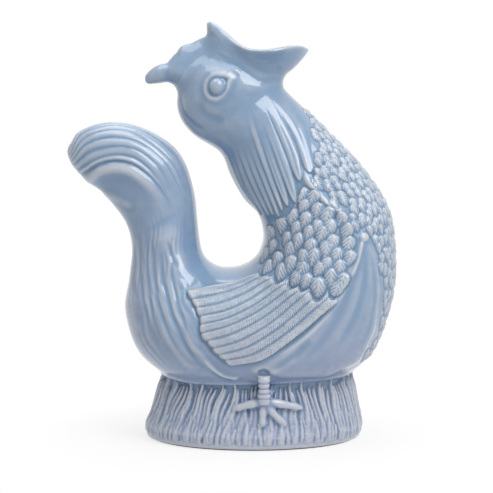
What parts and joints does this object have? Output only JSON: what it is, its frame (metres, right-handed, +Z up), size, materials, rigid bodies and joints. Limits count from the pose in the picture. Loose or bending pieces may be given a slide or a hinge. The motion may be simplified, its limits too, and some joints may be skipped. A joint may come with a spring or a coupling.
{
  "type": "pitcher",
  "caption": "Cockerel-shaped glazed earthenware jug on a grassy oval plinth, with the raised tail as a hollow handle and the crest of the turned head as a pouring lip.",
  "frame": {"origin": "middle of the bounding box on the surface that the jug stands on", "axes": "+X towards the bird's breast, +Y towards its left flank, +Z up; the tail tip and the beak point to -X"},
  "size_m": [0.1967, 0.109, 0.248],
  "materials": {
    "glaze_smooth": "clear glossy pale blue-grey glaze over smooth cast earthenware, deeper blue in the hollows",
    "glaze_feather": "the same glaze broken paler on the feather edges and pooled blue between them",
    "glaze_grass": "the same glaze run down between the grass blades, with a thicker blue roll at the foot",
    "bare_clay": "unglazed foot, wiped clean of glaze"
  },
  "bodies": {
    "root": {"foot_base": "bare_clay", "grass_plinth": "glaze_grass", "grass_tufts": "glaze_grass", "body_shell": "glaze_smooth", "tail_handle": "glaze_smooth", "tail_feathers": "glaze_feather", "neck_shell": "glaze_smooth", "head_shell": "glaze_smooth", "pouring_lip": "glaze_smooth", "comb": "glaze_smooth", "beak": "glaze_smooth", "eye_right": "glaze_smooth", "eye_left": "glaze_smooth", "hackle_right": "glaze_feather", "hackle_left": "glaze_feather", "breast_scales": "glaze_feather", "wing_right": "glaze_feather", "wing_left": "glaze_feather", "thigh_right": "glaze_smooth", "thigh_left": "glaze_smooth", "shank_right": "glaze_smooth", "shank_left": "glaze_smooth", "foot_right": "glaze_smooth", "foot_left": "glaze_smooth"}
  },
  "joints": []
}
